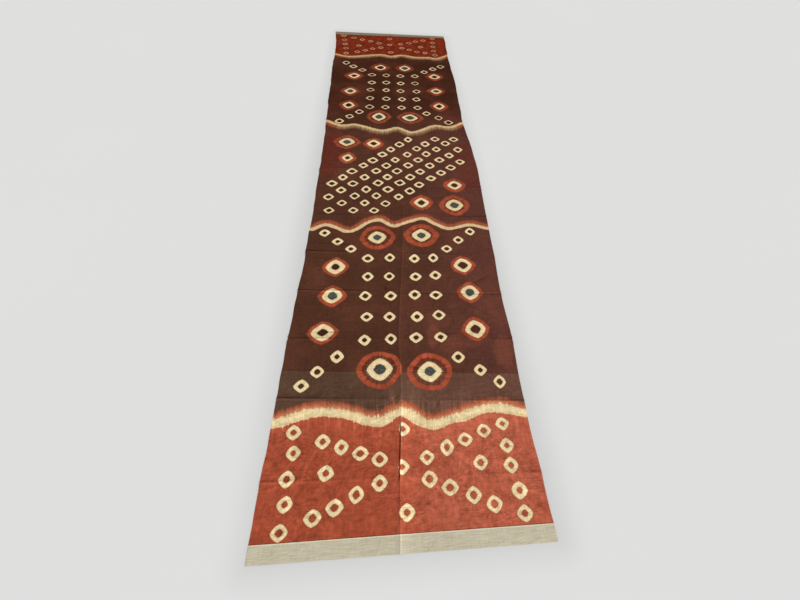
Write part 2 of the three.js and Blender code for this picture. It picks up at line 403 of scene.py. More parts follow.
def lay_sheet(name, rows, thickness):
    """A sheet of cloth lying over the folds: a grid whose points are laid in rows, given a thickness."""
    columns = 2 * (len(ACROSS_STEPS) - 1 + EVEN_COLUMNS) + 1
    bare()
    bpy.ops.mesh.primitive_grid_add(x_subdivisions=columns - 1, y_subdivisions=len(rows) - 1, size=1.0)
    sheet = bpy.context.object
    sheet.name = sheet.data.name = name
    y_left, y_right = np.array(rows).T
    left, right = left_edge(y_left), right_edge(y_right)
    middle = fold_place((y_left + y_right) / 2)
    even = np.arange(1, EVEN_COLUMNS + 1) / EVEN_COLUMNS
    foot = ACROSS_STEPS[-1]
    to_left = [middle - step for step in ACROSS_STEPS[1:]]
    to_left += [middle - foot + (left - middle + foot) * share for share in even]
    to_right = [middle + step for step in ACROSS_STEPS[1:]]
    to_right += [middle + foot + (right - middle - foot) * share for share in even]
    x = np.array(to_left[::-1] + [middle] + to_right).T
    share = (x - left[:, None]) / (right - left)[:, None]
    y = y_left[:, None] + (y_right - y_left)[:, None] * share
    points = np.stack([x, y, lie(x, y, share)], axis=-1)
    sheet.data.vertices.foreach_set("co", points.ravel())
    sheet.data.update()
    thicken = sheet.modifiers.new("thickness", "SOLIDIFY")
    thicken.thickness = thickness
    thicken.offset = 1.0
    bpy.ops.object.modifier_apply(modifier=thicken.name)
    return sheet


# The chart laid on the cloth

def chart_place(x, y):
    """Where a point of the spread cloth lies on the chart. Left of the lengthwise fold the chart is
    further on, by the cloth that the fold hides."""
    away = x - fold_place(y)
    hidden = hidden_cloth(y) * (1 - soft_step(away, -left_foot(y), 0.0))
    return x - hidden - CHART_MIDDLE[0], y - CHART_MIDDLE[1]


def all_rings():
    """The centre of every ring on the chart, its sizes as radii in metres, and the small turn and stretch
    that tying by hand gives each."""
    rings = [(kind, centre) for kind, centres in SINGLE_RINGS.items() for centre in centres]
    even = [(kind, (across, along)) for kind, rows, columns in BLOCKS
            for along in np.linspace(*rows) for across in columns]
    even += [(kind, place) for kind, *row in ROWS for place in np.linspace(*row)]
    slip = np.random.default_rng(33)
    rings += [(kind, place + slip.normal(0, TYING_SLIP, 2)) for kind, place in even]
    places = np.array([place for _, place in rings], dtype=float) * CM
    places = np.stack(chart_place(*(places + CHART_MIDDLE).T), axis=1)
    sizes = np.array([KINDS[kind] for kind, _ in rings], dtype=float)
    sizes[:, :4] *= CM / 2
    is_small = sizes[:, 3] == 0
    along = places[:, 1]
    tied_small = is_small * soft_step(along, -0.56, -0.54) * (1 - soft_step(along, -0.46, -0.28))
    sizes[:, :2] *= 1 - 0.15 * tied_small[:, None]
    rng = np.random.default_rng(21)
    sizes[:, :2] *= 1 + rng.uniform(-0.04, 0.05, (len(sizes), 1)) * is_small[:, None]
    sizes[:, 0] *= 1 + rng.uniform(-0.12, 0.14, len(sizes)) * is_small
    turn = rng.normal(0, 0.06, len(sizes))
    stretch = rng.normal(1, 0.035, len(sizes))
    skew = np.array([[np.cos(turn) * stretch, np.sin(turn)], [-np.sin(turn), np.cos(turn) / stretch]])
    return places, sizes, skew.transpose(2, 0, 1)


def read_all(items, name, width=1, kind=float):
    """One value, or one vector, of every item of a mesh."""
    values = np.empty(len(items) * width, dtype=kind)
    items.foreach_get(name, values)
    return values.reshape(-1, width).squeeze()


def corner_values(mesh):
    """For each face corner, the index of its face and of its point."""
    total = read_all(mesh.polygons, "loop_total", kind=int)
    return np.repeat(np.arange(len(total)), total), read_all(mesh.loops, "vertex_index", kind=int)


def nearest_line(distances, face_of, point_of):
    """For each face corner, which line is nearest to its face, so that a whole face keeps to one line."""
    of_face = [np.bincount(face_of, np.abs(distance)[point_of]) for distance in distances]
    return np.argmin(of_face, axis=0)[face_of]


def give(mesh, name, domain, *values):
    """Stores three numbers for each point or face corner, for the materials to read."""
    attribute = mesh.attributes.new(name, "FLOAT_VECTOR", domain)
    vectors = np.stack(np.broadcast_arrays(*values), axis=1)
    attribute.data.foreach_set("vector", np.ascontiguousarray(vectors, dtype=np.float32).ravel())


def mark_folds(sheet):
    """Stores how far each face corner is from its nearest crease and that crease's strength there, and
    how far each point is from the lengthwise fold, whether that is a tuck there, and its height. Also
    lays out both sides of the sheet on a UV map."""
    mesh = sheet.data
    x, y, _ = read_all(mesh.vertices, "co", 3).T
    face_of, point_of = corner_values(mesh)
    share = (x - left_edge(y)) / (right_edge(y) - left_edge(y))

    distances, strengths = [], []
    for i, way in enumerate(WAY):
        if way == 0:
            continue
        slope = (Y_RIGHT[i] - Y_LEFT[i]) / (X_RIGHT[i] - X_LEFT[i])
        distances.append((y - Y_LEFT[i] - (Y_RIGHT[i] - Y_LEFT[i]) * share) / math.hypot(1, slope))
        shades = FOLD_SHADES[i - 2] if i - 2 < len(FOLD_SHADES) else (0.1,) * 5
        shade = np.interp(share, (0.04, 0.25, 0.50, 0.75, 0.96), shades)
        strengths.append(shade * (0.85 + 0.15 * uneven(x, y, 40 + i, 3, 0.5, 0.2)))
    for first, last, strength in CREASES:
        first = Vector(first) * CM + Vector(CHART_MIDDLE)
        run = Vector(last) * CM + Vector(CHART_MIDDLE) - first
        length = run.length
        run.normalize()
        along = ((x - first.x) * run.x + (y - first.y) * run.y) / length
        across = (y - first.y) * run.x - (x - first.x) * run.y
        past = np.maximum(np.maximum(-along, along - 1), 0) * length
        distances.append(np.where(across < 0, -1, 1) * np.hypot(across, past))
        strengths.append(strength * soft_step(along, 0, 0.3) * (1 - soft_step(along, 0.7, 1)))
    distances, strengths = np.array(distances), np.array(strengths)

    chosen = nearest_line(distances, face_of, point_of)
    give(mesh, "crease_place", "CORNER", distances[chosen, point_of], strengths[chosen, point_of], 0.0)
    give(mesh, "fold_place", "POINT", x - fold_place(y), tuck(y), fold_height(y) / RIDGE.max())

    low, high = y.min(), y.max()
    top = read_all(mesh.polygons, "normal", 3)[:, 2] > 0
    across_map = 0.01 + 0.48 * np.clip(share, 0, 1)
    along_map = 0.005 + 0.99 * (y - low) / (high - low)
    uv = np.stack([across_map[point_of] + np.where(top[face_of], 0, 0.5), along_map[point_of]], axis=1)
    layer = mesh.uv_layers.new(name="OFBake")
    layer.data.foreach_set("uv", uv.ravel())
    return x, y


def mark_pattern(sheet, x, y):
    """Stores the chart's place at each point, and at each face corner where it lies from the two nearest
    rings and from the nearest stripe, with their sizes."""
    mesh = sheet.data
    face_of, point_of = corner_values(mesh)
    chart = np.stack(chart_place(x, y), axis=1)
    give(mesh, "chart", "POINT", *chart.T, 0.0)

    counts = np.bincount(face_of)
    centre = np.stack([np.bincount(face_of, chart[point_of, k]) / counts for k in (0, 1)], axis=1)
    places, sizes, skew = all_rings()
    reach = sizes[:, :4].max(axis=1)
    order = np.empty((len(centre), 2), dtype=int)
    for start in range(0, len(centre), 5000):
        part = centre[start:start + 5000]
        gap = np.hypot(*(part[:, None, :] - places[None]).transpose(2, 0, 1)) - reach
        order[start:start + 5000] = np.argsort(gap, axis=1)[:, :2]
    for k, letter in enumerate("ab"):
        ring = order[face_of, k]
        place = np.einsum("nij,nj->ni", skew[ring], chart[point_of] - places[ring])
        facts = [(*place.T, 1.7 * ring + 3), *sizes[ring].T.reshape(3, 3, -1)]
        for part, values in zip(RING_PARTS, facts):
            give(mesh, f"ring_{letter}_{part.lower()}", "CORNER", *values)

    distances = []
    for *_, turns in STRIPES:
        across, along = np.array(turns).T * CM
        middle = reader(across, along)
        slope = (middle(chart[:, 0] + MM) - middle(chart[:, 0] - MM)) / (2 * MM)
        distances.append((chart[:, 1] - middle(chart[:, 0])) / np.hypot(1, slope))
    distances = np.array(distances)
    nearest = nearest_line(distances, face_of, point_of)
    facts = np.array([stripe[:8] for stripe in STRIPES], dtype=float)
    facts[:, (0, 1, 4)] *= CM
    facts = facts[nearest].T
    give(mesh, "stripe_place", "CORNER", distances[nearest, point_of], chart[point_of, 0], 5.0 + nearest * 7)
    give(mesh, "stripe_size", "CORNER", *facts[:3])
    give(mesh, "stripe_dye", "CORNER", *facts[3:6])
    give(mesh, "stripe_form", "CORNER", *facts[6:], 0.0)


# Materials

class Value:
    """What a node gives, to reckon with as with a number. Each step of a sum is a node of its own."""

    def __init__(self, nodes, socket):
        self.nodes = nodes
        self.socket = socket

    def __add__(self, other):
        return self.nodes.math("ADD", self, other)

    def __sub__(self, other):
        return self.nodes.math("SUBTRACT", self, other)

    def __rsub__(self, other):
        return self.nodes.math("SUBTRACT", other, self)

    def __mul__(self, other):
        return self.nodes.math("MULTIPLY", self, other)

    def __truediv__(self, other):
        return self.nodes.math("DIVIDE", self, other)

    def __neg__(self):
        return self * -1.0

    def __abs__(self):
        return self.nodes.math("ABSOLUTE", self)

    __radd__ = __add__
    __rmul__ = __mul__


class Nodes:
    """Adds nodes to a material or a node group, and joins each to what feeds it."""

    def __init__(self, tree):
        self.tree = tree

    def add(self, kind, **settings):
        node = self.tree.nodes.new(kind)
        for name, value in settings.items():
            setattr(node, name, value)
        return node

    def feed(self, socket, value):
        if isinstance(value, Value):
            self.tree.links.new(value.socket, socket)
        elif socket.type == "RGBA" and isinstance(value, float):
            socket.default_value = (value, value, value, 1.0)
        else:
            socket.default_value = value

    def math(self, operation, *values):
        node = self.add("ShaderNodeMath", operation=operation)
        for socket, value in zip(node.inputs, values):
            self.feed(socket, value)
        return Value(self, node.outputs[0])

    def larger(self, first, second):
        return self.math("MAXIMUM", first, second)

    def step(self, value, middle, soft):
        """0 below the middle and 1 above it, with a soft change of twice soft between."""
        node = self.add("ShaderNodeMapRange", interpolation_type="SMOOTHSTEP")
        self.feed(node.inputs["Value"], value - middle)
        self.feed(node.inputs["From Min"], -soft)
        self.feed(node.inputs["From Max"], soft)
        return Value(self, node.outputs["Result"])

    def inside(self, value, middle, soft):
        return 1.0 - self.step(value, middle, soft)

    def line(self, value, half, soft):
        """1 where the value is within half of 0, on either side, and 0 further off."""
        return self.inside(abs(value), half, soft)

    def blend(self, share, first, second, kind="MIX"):
        node = self.add("ShaderNodeMix", data_type="RGBA", blend_type=kind)
        self.feed(node.inputs[0], share)
        self.feed(node.inputs[6], first)
        self.feed(node.inputs[7], second)
        return Value(self, node.outputs[2])

    def shade(self, base, amount):
        """A colour made darker or lighter, in proportion to amount."""
        return self.blend(1.0, base, amount, kind="MULTIPLY")

    def noise(self, place, scale, detail=2.0, seed=0.0):
        node = self.add("ShaderNodeTexNoise", noise_dimensions="4D")
        self.feed(node.inputs["Vector"], place)
        node.inputs["Scale"].default_value = scale
        node.inputs["Detail"].default_value = detail
        node.inputs["W"].default_value = seed
        return Value(self, node.outputs[0])

    def waver(self, place, scale, detail=2.0, seed=0.0):
        """Noise that goes as far below 0 as above it."""
        return self.noise(place, scale, detail, seed) - 0.5

    def attribute(self, name):
        node = self.add("ShaderNodeAttribute", attribute_type="GEOMETRY", attribute_name=name)
        return Value(self, node.outputs["Vector"])

    def object_place(self):
        return Value(self, self.add("ShaderNodeTexCoord").outputs["Object"])

    def split(self, vector):
        node = self.add("ShaderNodeSeparateXYZ")
        self.feed(node.inputs[0], vector)
        return [Value(self, output) for output in node.outputs]

    def join(self, x, y, z):
        node = self.add("ShaderNodeCombineXYZ")
        for socket, value in zip(node.inputs, (x, y, z)):
            self.feed(socket, value)
        return Value(self, node.outputs[0])

    def use(self, group, **values):
        node = self.add("ShaderNodeGroup", node_tree=group)
        for name, value in values.items():
            self.feed(node.inputs[name], value)
        return {output.name: Value(self, output) for output in node.outputs}


def new_group(name, takes, gives):
    """An empty node group with named inputs and outputs."""
    group = bpy.data.node_groups.new(name, "ShaderNodeTree")
    for direction, sockets in (("INPUT", takes), ("OUTPUT", gives)):
        for label, kind in sockets.items():
            group.interface.new_socket(name=label, in_out=direction, socket_type=f"NodeSocket{kind}")
    nodes = Nodes(group)
    start = nodes.add("NodeGroupInput").outputs
    taken = {label: Value(nodes, start[label]) for label in takes}
    return group, nodes, taken, nodes.add("NodeGroupOutput").inputs


def make_tied_ring():
    """The mark of one tied pinch of cloth: a dyed core, undyed cream round it and, on the larger ones, a
    dark gap and a ring of the first red dye. Pucker is the cloth's own small folds round it."""
    sharpness = 1.22
    group, nodes, takes, gives = new_group(
        "tied ring",
        {"Place": "Vector", "Size": "Vector", "Dye": "Vector", "Form": "Vector", "Ground": "Color"},
        {"Colour": "Color", "Pucker": "Float"})
    ground = takes["Ground"]
    x, y, seed = nodes.split(takes["Place"])
    core, cream, gap = nodes.split(takes["Size"])
    outer, core_dye, strength = nodes.split(takes["Dye"])
    roundness, outer_roundness, dull = nodes.split(takes["Form"])
    across = nodes.math("POWER", abs(x), sharpness)
    along = nodes.math("POWER", abs(y), sharpness)
    diamond = nodes.math("POWER", across + along + 1e-9, 1 / sharpness)
    circle = nodes.larger(nodes.math("SQRT", x * x + y * y), 1e-5)
    past_circle = diamond - circle

    def shape(round_share):
        """The distance from the centre, measured so that a round diamond has one value all round."""
        return circle + past_circle * (1.0 - round_share)

    around = nodes.join(x / circle, y / circle, seed)
    sway = nodes.waver(around, 0.9, 1.0)
    outer_sway = nodes.waver(around, 1.5, seed=12.0)
    core_sway = nodes.waver(around, 1.3, 1.0, seed=4.0)
    spokes = nodes.waver(around, 4.0, seed=8.0)
    fine_spokes = nodes.waver(around, 10.0, seed=2.0)
    ragged = fine_spokes * 0.0035
    reach = shape(roundness) * (1.0 + sway * 0.22) + ragged
    outer_reach = shape(outer_roundness) * (1.0 + outer_sway * 0.28) + spokes * 0.006 + ragged
    core_reach = shape(roundness + 0.15) * (1.0 + core_sway * 0.45) + ragged

    # The outer red is streaked along its spokes, and softens where it meets the ground.
    red = nodes.shade(RING_RED, 1.0 + spokes * 0.7 + fine_spokes * 0.8 + sway * 0.8)
    has_outer = nodes.step(strength, 0.01, 0.01)
    edge = 0.0035 + (1.0 - strength) * 0.020
    red_share = nodes.inside(outer_reach, outer, edge) * strength * (0.93 + (spokes + fine_spokes) * 0.5)
    result = nodes.blend(red_share, ground, red)
    dark = nodes.shade(ground, 0.72)

    # In the dark gap, red runs in from outside and a few threads of cream run out.
    gap_reach = outer_reach + (spokes + fine_spokes) * 0.014
    gap_share = nodes.inside(gap_reach, gap, 0.0040) * has_outer
    result = nodes.blend(gap_share * 0.82, result, dark)
    threads_out = nodes.step(fine_spokes, 0.09, 0.05) * nodes.inside(reach, cream + 0.007, 0.006)
    result = nodes.blend(threads_out * gap_share * 0.45, result, CREAM)
    rim = nodes.inside(reach, cream + 0.0022, 0.0022) * 0.45
    result = nodes.blend(rim, result, dark)

    # The cream is lightest in its middle, and the core takes the ground's dye or the blue-green one.
    midway = (cream + core) * 0.52
    half = (cream - core) * 0.5
    from_middle = abs(reach - midway) / nodes.larger(half, 0.001)
    tone = nodes.inside(from_middle, 0.55, 0.5) * 0.65 + spokes * 2.0 + fine_spokes * 1.6
    cream_colour = nodes.blend(tone, CREAM, CREAM_LIGHT)
    stained = nodes.blend(0.35 + spokes * 1.5, CREAM_PINK, ground)
    cream_colour = nodes.blend(dull, cream_colour, stained)
    result = nodes.blend(nodes.inside(reach, cream, 0.0014), result, cream_colour)
    own_core = nodes.shade(ground, 0.52 + nodes.larger(-core_dye, 0.0) * 0.42 + spokes * 0.6)
    blue_core = nodes.shade(BLUE_GREEN, 0.98 + spokes * 1.2 + fine_spokes)
    mottle = nodes.step(nodes.noise(nodes.join(x, y, seed), 130.0), 0.50, 0.14)
    core_colour = nodes.blend(core_dye * (0.25 + mottle * 0.75), own_core, blue_core)
    nodes.feed(gives["Colour"], nodes.blend(nodes.inside(core_reach, core, 0.0018), result, core_colour))

    beyond = circle / nodes.larger(cream, 0.001)
    folds = nodes.waver(around, 6.0, seed=6.0)
    nodes.feed(gives["Pucker"], folds * nodes.inside(beyond, 1.9, 1.1) * nodes.step(beyond, 1.0, 0.12))
    return group


SURFACE = {"Height": "Float", "Tone": "Float"}


def make_weave():
    """A plain weave: threads passing over and under each other, with thicker slubs here and there.
    Height is for a bump, and Tone is 1 on average: it changes with the slubs, and is a little lighter on the
    raised threads, a painted light."""
    group, nodes, takes, gives = new_group(
        "plain weave", {"Place": "Vector", "Threads": "Float", "Slubs": "Float"}, SURFACE)
    x, y, _ = nodes.split(takes["Place"])
    turn = takes["Threads"] * math.pi
    checks = nodes.math("SINE", x * turn) * nodes.math("SINE", y * turn)
    long_way = nodes.noise(nodes.join(x * 900.0, y * 14.0, 0.0), 1.0)
    short_way = nodes.noise(nodes.join(x * 14.0, y * 900.0, 3.0), 1.0)
    slubs = (long_way + short_way - 1.0) * takes["Slubs"]
    nodes.feed(gives["Height"], checks * 0.5 + slubs)
    # The slubs change the tone, and a painted light makes the raised threads a little lighter.
    nodes.feed(gives["Tone"], 1.0 + slubs * 0.35 + checks * 0.03)
    return group


def make_fold_shading():
    """What a crease does to a surface: Height is for a bump, and Tone is 1 where there is no crease.
    Tone paints shade on one flank of a crease and a highlight on the other; along the lengthwise fold it
    paints light on the right side, a highlight beside the crest and a shadow in the slit by the tuck.
    Fold is the lengthwise fold's own place."""
    group, nodes, takes, gives = new_group("fold shading", {"Place": "Vector", "Fold": "Vector"}, SURFACE)
    across, strength, _ = nodes.split(takes["Place"])
    lengthwise, tucked, tall = nodes.split(takes["Fold"])
    size = abs(strength) * (0.75 + nodes.waver(takes["Fold"], 14.0) * 1.6)
    crest = nodes.line(across, 0.002, 0.004) * strength * 0.6
    past = across * nodes.math("SIGN", strength)
    # Painted shade on a crease's far flank and a painted highlight on its near flank, the other way round
    # where its strength is negative.
    dark = nodes.line(past - 0.0060, 0.0018, 0.0045) * size * -0.64
    shaded = nodes.inside(past, 0.016, 0.012) * nodes.step(past, 0.004, 0.004) * size * -0.24
    painted_fold_light = nodes.line(past + 0.0030, 0.0022, 0.0055) * size * 0.55
    # A painted shadow in the slit beside the lengthwise fold, deepest along the tuck, and painted light and a
    # painted highlight on the fold's right side.
    ditch = nodes.line(lengthwise + 0.0018, 0.0008 + tucked * 0.0014, 0.0020) * (0.26 + tucked * 0.62)
    lit = nodes.inside(lengthwise, 0.04, 0.06) * nodes.step(lengthwise, 0.002, 0.003) * tall * 0.24
    bright = nodes.line(lengthwise - 0.0045, 0.0020, 0.0030) * tall * 0.40
    nodes.feed(gives["Height"], crest - ditch * 0.5)
    nodes.feed(gives["Tone"], 1.0 + dark + shaded + painted_fold_light - ditch + lit + bright)
    return group


def make_crumple():
    """Small crumples: thin straightish lines in four directions, in patches. Height is for a bump, and
    Tone is near 1, with painted light on their crests, painted shade in the hollows beside them, painted
    light where the soft unevenness rises, and a random mottle."""
    group, nodes, takes, gives = new_group("crumple", {"Place": "Vector"}, SURFACE)
    place = takes["Place"]
    x, y, _ = nodes.split(place)
    ridges = 0.0
    # Each direction's turn, how closely its lines change along and across them, and a seed.
    directions = [(0.35, 5.0, 24.0, 1.0), (-0.65, 6.0, 30.0, 2.0),
                  (1.25, 4.0, 19.0, 3.0), (0.0, 9.0, 48.0, 4.0)]
    for turn, lengthwise, crosswise, seed in directions:
        run = x * math.cos(turn) + y * math.sin(turn)
        side = y * math.cos(turn) - x * math.sin(turn)
        folded = nodes.waver(nodes.join(run * lengthwise, side * crosswise, seed), 1.0)
        ridge = nodes.line(folded, 0.006, 0.030)
        hollow = nodes.line(folded - 0.060, 0.006, 0.035)
        patch = nodes.step(nodes.noise(place, 7.0, 1.0, seed=seed * 5), 0.52, 0.12)
        ridges = (ridge - hollow * 0.65) * patch + ridges
    soft = nodes.noise(place, 18.0, 3.0, seed=11.0)
    mottle = nodes.waver(place, 55.0, 3.0, seed=14.0)
    nodes.feed(gives["Height"], ridges * 0.8 + soft)
    # Painted light on the crests and rises, painted shade in the hollows, and a random mottle.
    nodes.feed(gives["Tone"], 1.0 + ridges * 0.28 + (soft - 0.5) * 0.55 + mottle * 0.90)
    return group


def new_material(name, roughness):
    material = bpy.data.materials.new(name)
    material.use_nodes = True
    shader = material.node_tree.nodes["Principled BSDF"]
    shader.inputs["Roughness"].default_value = roughness
    shader.inputs["Specular IOR Level"].default_value = 0.04
    return material, Nodes(material.node_tree), shader.inputs


def bump(nodes, shader, height, distance):
    node = nodes.add("ShaderNodeBump")
    nodes.feed(node.inputs["Height"], height)
    node.inputs["Distance"].default_value = distance
    nodes.feed(shader["Normal"], Value(nodes, node.outputs["Normal"]))


def dye_the_cloth(weave, fold_shading, crumple, tied_ring):
    """The dyed cotton: grounds, uneven dye, stripes and rings, then weave, and painted light and shade
    along the creases, crumples, puckers and near seam.
    """
    material, nodes, shader = new_material("dyed_cotton", 0.95)
    chart = nodes.attribute("chart")
    x, y, _ = nodes.split(chart)
    distance, along, seed = nodes.split(nodes.attribute("stripe_place"))
    half, fringe, side = nodes.split(nodes.attribute("stripe_size"))
    strength, run, red_side = nodes.split(nodes.attribute("stripe_dye"))
    dull, browned, _ = nodes.split(nodes.attribute("stripe_form"))

    # The brown ground, deeper to the far end and lighter to the right.
    clouds = nodes.waver(chart, 4.5, 3.0)
    small_clouds = nodes.waver(chart, 22.0, 3.0, seed=5.0)
    fine_clouds = nodes.waver(chart, 70.0, 3.0, seed=9.0)
    threads = nodes.waver(nodes.join(x * 240.0, y * 11.0, 0.0), 1.0)
    picks = nodes.waver(nodes.join(x * 11.0, y * 240.0, 2.0), 1.0)
    brown = nodes.blend(nodes.step(x, 0.22, 0.34) * 0.9, BROWN, RIGHT_BROWN)
    brown = nodes.blend(nodes.step(y, 0.50, 0.45), brown, FAR_BROWN)
    ground = nodes.blend(nodes.step(clouds, 0.08, 0.14) * 0.22, brown, RED_BROWN)
    ground = nodes.blend(nodes.inside(clouds, -0.06, 0.12) * 0.5, ground, nodes.shade(brown, 0.85))
    ground = nodes.shade(ground, 1.0 + small_clouds * 0.35 + fine_clouds * 0.50)
    for middle_x, middle_y, wide, long, amount in DYE_PATCHES:
        from_x = (x - middle_x * CM) / (wide * CM)
        from_y = (y - middle_y * CM) / (long * CM)
        off = from_x * from_x + from_y * from_y + small_clouds * 2.0 + fine_clouds * 2.4
        dye = DARK_BROWN if amount < 0 else RED_BROWN if middle_y < NEAR_PATCHES else DEEP_RED
        ground = nodes.blend(nodes.inside(off, 0.8, 0.35) * abs(amount), ground, dye)

    # Its near end was dipped again and is greyer, up to a straight tide line. Light streaks of puckered
    # cloth run up into it from the stripe.
    streaks = nodes.waver(nodes.join(along * 170.0, distance * 12.0, seed), 1.0)
    long_streaks = nodes.waver(nodes.join(along * 60.0, distance * 4.0, seed), 1.0, seed=3.0)
    past_tide = y + x * TIDE_LEAN + TIDE_AT
    grey = nodes.blend(nodes.step(x, 0.10, 0.35), GREY_BROWN, GREY_BROWN_RIGHT)
    grey = nodes.shade(grey, 1.0 + clouds * 0.7)
    dipped = nodes.inside(past_tide, 0.0, 0.004) * (0.85 + clouds * 0.6)
    ground = nodes.blend(dipped, ground, grey)
    ground = nodes.blend(nodes.line(past_tide, 0.0008, 0.0020) * (clouds + 0.5) * 0.14, ground, CREAM)
    near_centre = nodes.line(x - 0.04, 0.22, 0.16) * nodes.inside(distance, 0.090, 0.055)
    pulled = nodes.step(long_streaks + streaks * 0.6, 0.04, 0.10) * near_centre * dipped * 0.60
    ground = nodes.blend(pulled, ground, nodes.shade(GREY_BROWN_RIGHT, 1.6))

    # The red ends.
    pale = nodes.step(x + clouds * 0.25, 0.02, 0.12) * 0.75
    near_red = nodes.blend(pale, NEAR_RED, NEAR_RED_PALE)
    near_red = nodes.blend(nodes.inside(small_clouds, -0.04, 0.12) * 0.35, near_red, NEAR_RED_DEEP)
    lit_streaks = nodes.step(streaks + long_streaks, 0.10, 0.15) * nodes.step(distance, -0.07, 0.045) * 0.45
    near_red = nodes.blend(lit_streaks, near_red, nodes.shade(NEAR_RED_PALE, 1.2))
    near_red = nodes.shade(near_red, 1.0 + nodes.step(distance, -0.06, 0.05) * 0.14 + fine_clouds * 0.28)
    far_red = nodes.blend(nodes.step((small_clouds + threads) * 0.5, 0.0, 0.10), FAR_RED_DARK, FAR_RED)
    on_near = nodes.larger(red_side, 0.0) * nodes.inside(distance, 0.0, 0.002)
    on_far = nodes.larger(-red_side, 0.0) * nodes.step(distance, 0.0, 0.002)
    ground = nodes.blend(on_near, ground, near_red)
    ground = nodes.blend(on_far, ground, far_red)

    # The wavy stripes: cream, with a fringe of the first red dye that runs out in streaks. The fringe is
    # palest next to the cream.
    sway = nodes.waver(nodes.join(along * 14.0, seed, 0.0), 1.0)
    width = half * (1.0 + sway * 1.3)
    off = distance * side + sway * 0.006
    far_run = 1.0 + nodes.line(along + 0.02, 0.17, 0.08) * 0.9
    spikes = (streaks * 1.2 + long_streaks) * run * far_run
    past = (off - width - spikes * 0.45) / nodes.larger(fringe, 0.001)
    behind = nodes.step(off, width * -1.15, 0.002)
    browned = browned * nodes.line(along - 0.01, 0.43, 0.03)
    soft_reach = nodes.inside(past, 0.85, 0.38) * (1.0 - browned) + nodes.inside(past, 0.65, 0.85) * browned
    fringe_share = soft_reach * behind * strength * (0.98 + long_streaks + streaks * 1.2)
    fringe_tone = past * 1.6 + streaks * 1.8 + dull * 1.4 + 0.10
    fringe_colour = nodes.shade(nodes.blend(fringe_tone, FRINGE_PALE, FRINGE_RED), 1.0 - dull * 0.45)
    fringe_colour = nodes.blend(browned, fringe_colour, TAN)
    ground = nodes.blend(fringe_share, ground, fringe_colour)
    teeth = nodes.larger(streaks, 0.0) * nodes.math("MINIMUM", run, 0.02) * 1.6
    cream_share = nodes.inside(off - nodes.larger(spikes, -0.003), width, 0.0018 + browned * 0.0035)
    cream_share = cream_share * nodes.step(off + teeth, -width, 0.0016)
    inner = nodes.line(off, half * 0.5, 0.006)
    cream = nodes.blend(inner * 0.5 + streaks * 2.2 + long_streaks * 1.4, CREAM, CREAM_LIGHT)
    cream = nodes.blend(dull * (1.0 + sway * 1.2), cream, CREAM_DULL)
    ground = nodes.blend(cream_share, ground, cream)

    # The tied rings, the further of the two nearest first.
    puckers = 0.0
    for letter in "ba":
        stored = {part: nodes.attribute(f"ring_{letter}_{part.lower()}") for part in RING_PARTS}
        ring = nodes.use(tied_ring, Ground=ground, **stored)
        ground = ring["Colour"]
        puckers = ring["Pucker"] + puckers

    # Crumples are strongest near the near end. The weave varies the tone of all of it, and light and shade
    # are painted along the creases, crumples and puckers.
    much = 0.40 + nodes.inside(y, -1.65, 0.20) * 0.60
    pucker = puckers * much
    creased = nodes.use(crumple, Place=chart)
    # The crumples and the puckers round the rings paint light and shade into the tone as well as bumping it.
    crumple_tone = 1.0 + (creased["Tone"] - 1.0) * much + pucker
    threads_tone = 1.0 + (threads + picks) * 0.50
    woven = nodes.use(weave, Place=chart, Threads=1250.0, Slubs=0.7)
    painted_fold_light = nodes.use(fold_shading, Place=nodes.attribute("crease_place"), Fold=nodes.attribute("fold_place"))
    # Painted shade along the ditch of the near seam.
    seam_shade = 1.0 + nodes.inside(y + x * SEAM_LEAN + SEAM_AT, 0.0020, 0.0018) * -0.45
    tone = threads_tone * woven["Tone"] * painted_fold_light["Tone"] * crumple_tone * seam_shade
    nodes.feed(shader["Base Color"], nodes.shade(ground, tone))
    height = woven["Height"] * 0.10 + painted_fold_light["Height"] + pucker * 2.5 + creased["Height"] * much * 2.2
    bump(nodes, shader, height, 1.0 * MM)
    return material


def weave_the_linen(weave, fold_shading, crumple):
    """The plain linen of the bands: undyed, slubby, darker and greyer at the far end, with a painted
    highlight along the folded edge at the near seam and painted light and shade along the folds.
    """
    material, nodes, shader = new_material("plain_linen", 0.95)
    place = nodes.object_place()
    x, y, _ = nodes.split(place)
    clouds = nodes.noise(place, 9.0, 3.0)
    threads = nodes.noise(nodes.join(x * 380.0, y * 22.0, 0.0), 1.0, 3.0)
    picks = nodes.noise(nodes.join(x * 16.0, y * 380.0, 2.0), 1.0, 3.0)
    base = nodes.blend(nodes.inside(threads + clouds * 0.5, 0.72, 0.16) * 0.45, LINEN, LINEN_DARK)
    base = nodes.blend(nodes.inside(picks, 0.46, 0.12) * 0.6, base, LINEN_DARK)
    base = nodes.blend(nodes.step(picks, 0.60, 0.08) * 0.5, base, nodes.shade(LINEN, 1.15))
    # A painted highlight along the folded top edge of the near band.
    edge_highlight = nodes.line(y + x * SEAM_LEAN + SEAM_AT - 0.0006, 0.0020, 0.0008)
    base = nodes.blend(edge_highlight * 0.9, base, nodes.shade(LINEN, 1.35))
    # Darker and greyer at the far end.
    base = nodes.blend(nodes.step(y, 0.0, 0.1) * 0.85, base, LINEN_FAR_END)
    woven = nodes.use(weave, Place=place, Threads=1000.0, Slubs=1.0)
    painted_fold_light = nodes.use(fold_shading, Place=nodes.attribute("crease_place"), Fold=nodes.attribute("fold_place"))
    creased = nodes.use(crumple, Place=place)
    nodes.feed(shader["Base Color"], nodes.shade(base, woven["Tone"] * painted_fold_light["Tone"]))
    height = woven["Height"] * 0.25 + painted_fold_light["Height"] * 0.8 + creased["Height"] * 1.2
    bump(nodes, shader, height, 1.0 * MM)
    return material


